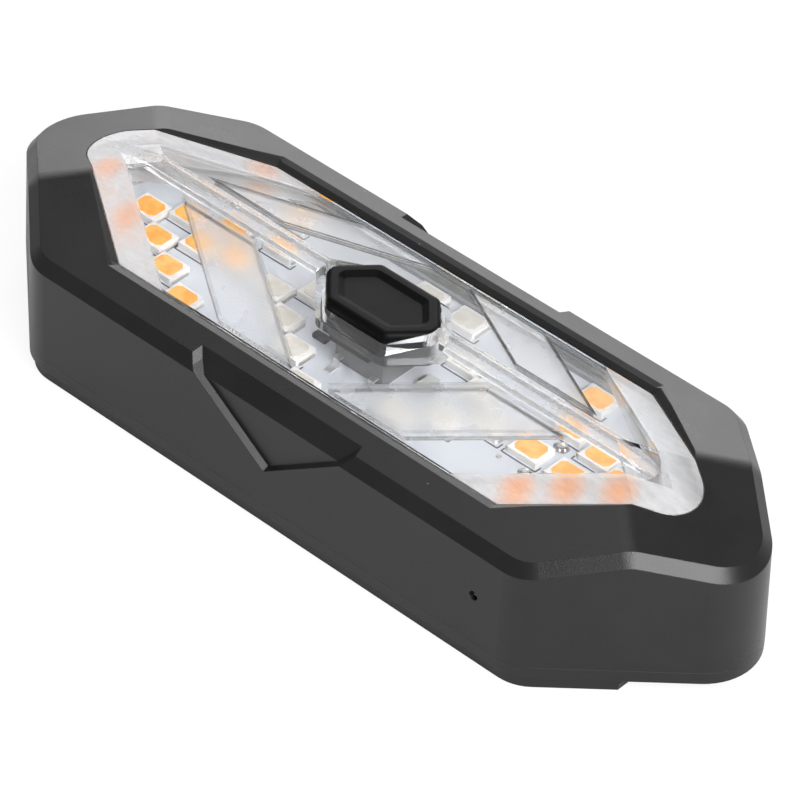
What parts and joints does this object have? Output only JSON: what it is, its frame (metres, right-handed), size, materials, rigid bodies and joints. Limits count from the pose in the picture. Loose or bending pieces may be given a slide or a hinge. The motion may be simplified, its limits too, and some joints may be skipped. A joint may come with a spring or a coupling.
{
  "type": "bicycle tail light",
  "caption": "Long six-sided bicycle tail light with a clear hip-roofed lens over surface-mount lamps, a push button in the lens, a sealed back and a covered charging port.",
  "frame": {"origin": "under the middle of the light, on the plane that its back pad lies on", "axes": "+X along the light, +Y across it towards the side with the charging port, +Z out of the lens"},
  "size_m": [0.0922, 0.032, 0.0188],
  "materials": {
    "casing_plastic": "satin black, finely grained",
    "lens_plastic": "clear polycarbonate, polished, with frosted bands",
    "seal_rubber": "soft black",
    "cover_plastic": "satin black",
    "screw_steel": "zinc plated",
    "button_plastic": "satin black",
    "board_white": "white solder mask",
    "lamp_body": "white moulded",
    "amber_window": "lit amber",
    "pale_window": "unlit, clear over a pale die",
    "switch_plastic": "black moulded",
    "switch_steel": "stamped",
    "tinned_copper": "tinned",
    "resistor_ceramic": "glazed black with tinned ends",
    "capacitor_ceramic": "brown",
    "solder": "bright",
    "chip_epoxy": "moulded epoxy",
    "battery_foil": "laminated foil pouch",
    "foam": "closed-cell foam",
    "guard_green": "green solder mask",
    "lead_red": "insulated wire",
    "lead_black": "insulated wire",
    "socket_steel": "drawn and plated",
    "tongue_plastic": "black, with contacts",
    "flap_rubber": "soft black",
    "pipe_plastic": "clear acrylic"
  },
  "bodies": {
    "light": {"casing": "casing_plastic", "lens": "lens_plastic", "lens_seal": "seal_rubber", "back_cover": "cover_plastic", "cover_seal": "seal_rubber", "cover_screws": "screw_steel", "circuit_board": "board_white", "amber_lamps_left": "lamp_body", "amber_windows_left": "amber_window", "amber_lamps_right": "lamp_body", "amber_windows_right": "amber_window", "pale_lamps": "lamp_body", "pale_windows": "pale_window", "switch_body": "switch_plastic", "switch_plate": "switch_steel", "switch_legs": "tinned_copper", "board_resistors": "resistor_ceramic", "board_capacitor": "capacitor_ceramic", "solder_joints": "solder", "controller_chip": "chip_epoxy", "controller_legs": "tinned_copper", "charging_chip": "chip_epoxy", "charging_chip_legs": "tinned_copper", "battery_pouch": "battery_foil", "battery_foam": "foam", "battery_guard_board": "guard_green", "battery_lead_red": "lead_red", "battery_lead_black": "lead_black", "charging_socket": "socket_steel", "socket_tongue": "tongue_plastic", "port_anchor": "flap_rubber", "indicator_lamp": "lamp_body", "indicator_pipe": "pipe_plastic"},
    "button": {"push_button": "button_plastic"},
    "plunger": {"switch_plunger": "switch_plastic"},
    "flap": {"port_flap": "flap_rubber"}
  },
  "joints": [
    {"name": "button_press", "type": "slide", "parent": "light", "child": "button", "axis": [0, 0, -1], "range_m": [0, 0.0003], "stiffness_N_per_m": 400},
    {"name": "plunger_press", "type": "slide", "parent": "light", "child": "plunger", "axis": [0, 0, -1], "range_m": [0, 0.0003]},
    {"name": "flap_swing", "type": "hinge", "parent": "light", "child": "flap", "pos_m": [-0.026, 0.01586, 0.0082], "axis": [0, 0, 1], "range_deg": [0, 100]}
  ],
  "couplings": [
    {"joint": "plunger_press", "follows": "button_press", "ratio": 1}
  ]
}
